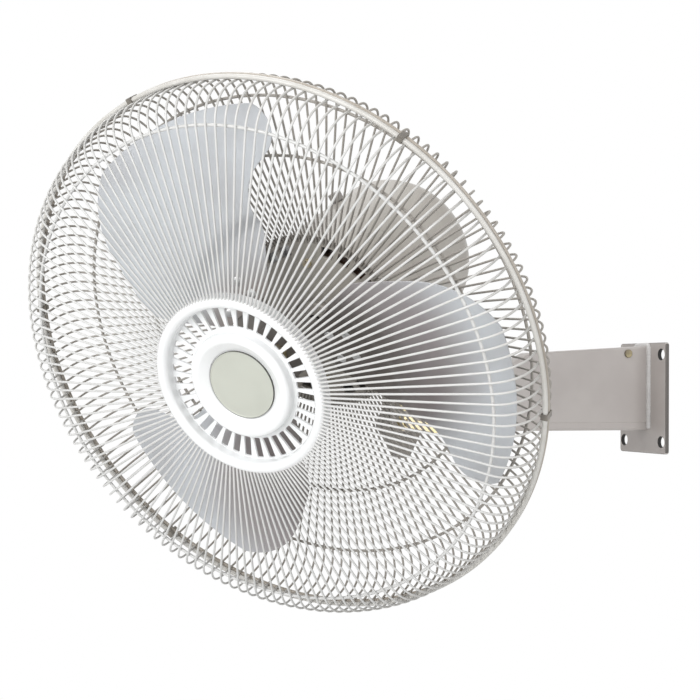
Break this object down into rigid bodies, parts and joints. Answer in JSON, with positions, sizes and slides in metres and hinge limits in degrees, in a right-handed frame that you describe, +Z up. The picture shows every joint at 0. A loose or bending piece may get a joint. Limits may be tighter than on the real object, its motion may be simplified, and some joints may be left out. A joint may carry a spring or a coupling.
{
  "type": "wall mounted fan",
  "caption": "Wall mounted fan: wire guarded blades on a motor head that swings and tilts on a sheet metal arm with a bolted wall plate.",
  "frame": {"origin": "centre of the wall plate's back face, which lies on the wall", "axes": "+Z is up, +Y points into the wall so the fan stands out towards -Y, +X is to the right of someone facing the wall"},
  "size_m": [0.5077, 0.7203, 0.5363],
  "materials": {
    "bracket_grey": "smooth warm grey enamel",
    "motor_grey": "smooth warm grey enamel",
    "neck_grey": "fine cast grey enamel",
    "guard_white": "ivory powder coat",
    "cap_white": "gloss white",
    "badge_grey": "matt anodised",
    "blade_silver": "satin silver grey",
    "clip_dark": "dull spring steel",
    "zinc": "yellow zinc plate",
    "zinc_lever": "yellow zinc plate",
    "steel": "machined",
    "nylon": "natural nylon",
    "knob_plastic": "grey plastic",
    "copper": "varnished copper wire",
    "cast_zinc": "as cast",
    "capacitor_case": "moulded plastic",
    "gland_rubber": "black rubber",
    "rotor_aluminium": "cast and turned"
  },
  "bodies": {
    "bracket": {"wall_plate": "bracket_grey", "wall_arm": "bracket_grey", "earth_screw": "zinc", "tilt_bolt": "zinc", "tilt_nut": "zinc", "tilt_washers": "zinc", "clamp_bolt": "zinc", "clamp_washers": "zinc"},
    "lever": {"tilt_lever": "zinc_lever"},
    "neck_body": {"neck": "neck_grey", "swivel_pin": "steel", "thrust_washer": "nylon", "link_stud": "steel"},
    "link": {"oscillation_link": "zinc"},
    "head": {"motor_front_shell": "motor_grey", "motor_rear_shell": "motor_grey", "end_shield": "motor_grey", "stator_core": "steel", "stator_windings": "copper", "front_bearing": "steel", "rear_bearing": "steel", "gear_case": "cast_zinc", "rear_shell_screws": "zinc", "run_capacitor": "capacitor_case", "cord_gland": "gland_rubber", "rear_guard_plate": "motor_grey", "guard_screws": "zinc", "rear_guard_wires": "guard_white", "rear_guard_rings": "guard_white", "rear_rim_hoop": "guard_white", "front_rim_hoop": "guard_white", "rim_clips": "clip_dark", "front_guard_wires": "guard_white", "front_guard_ring": "guard_white", "cap_band": "cap_white", "cap_grille": "cap_white", "hub_cap": "cap_white", "hub_cap_badge": "badge_grey"},
    "crank_body": {"crank": "zinc"},
    "knob": {"clutch_knob": "knob_plastic"},
    "rotor": {"motor_shaft": "steel", "rotor_core": "rotor_aluminium", "fan_hub": "rotor_aluminium", "blade_1": "blade_silver", "blade_2": "blade_silver", "blade_3": "blade_silver", "blade_rivets": "rotor_aluminium", "hub_nut": "zinc"}
  },
  "joints": [
    {"name": "head_tilt", "type": "hinge", "parent": "bracket", "child": "neck_body", "pos_m": [0, -0.323, -0.004], "axis": [1, 0, 0], "range_deg": [-23, 14]},
    {"name": "head_swivel", "type": "hinge", "parent": "neck_body", "child": "head", "pos_m": [0, -0.33845, 0.02172], "axis": [0, -0.515, 0.8572], "range_deg": [-73, 7]},
    {"name": "rotor_spin", "type": "hinge", "parent": "head", "child": "rotor", "pos_m": [0.08387, -0.50066, 0.04091], "axis": [0.5446, -0.7189, -0.4319], "continuous": true},
    {"name": "crank_turn", "type": "hinge", "parent": "head", "child": "crank_body", "pos_m": [-0.04248, -0.28341, 0.05712], "axis": [0, -0.515, 0.8572], "continuous": true},
    {"name": "link_swing", "type": "hinge", "parent": "neck_body", "child": "link", "pos_m": [-0.026, -0.33588, 0.01743], "axis": [0, -0.515, 0.8572], "range_deg": [-71, 8]},
    {"name": "lever_turn", "type": "hinge", "parent": "bracket", "child": "lever", "pos_m": [0.018, -0.323, -0.028], "axis": [1, 0, 0], "range_deg": [-50, 40]},
    {"name": "clutch_pull", "type": "slide", "parent": "head", "child": "knob", "axis": [0, -0.515, 0.8572], "range_m": [0, 0.006]}
  ],
  "couplings": [
    {"joint": "crank_turn", "follows": "rotor_spin", "ratio": -0.0041667},
    {"joint": "link_swing", "follows": "head_swivel", "ratio": 0.95}
  ]
}
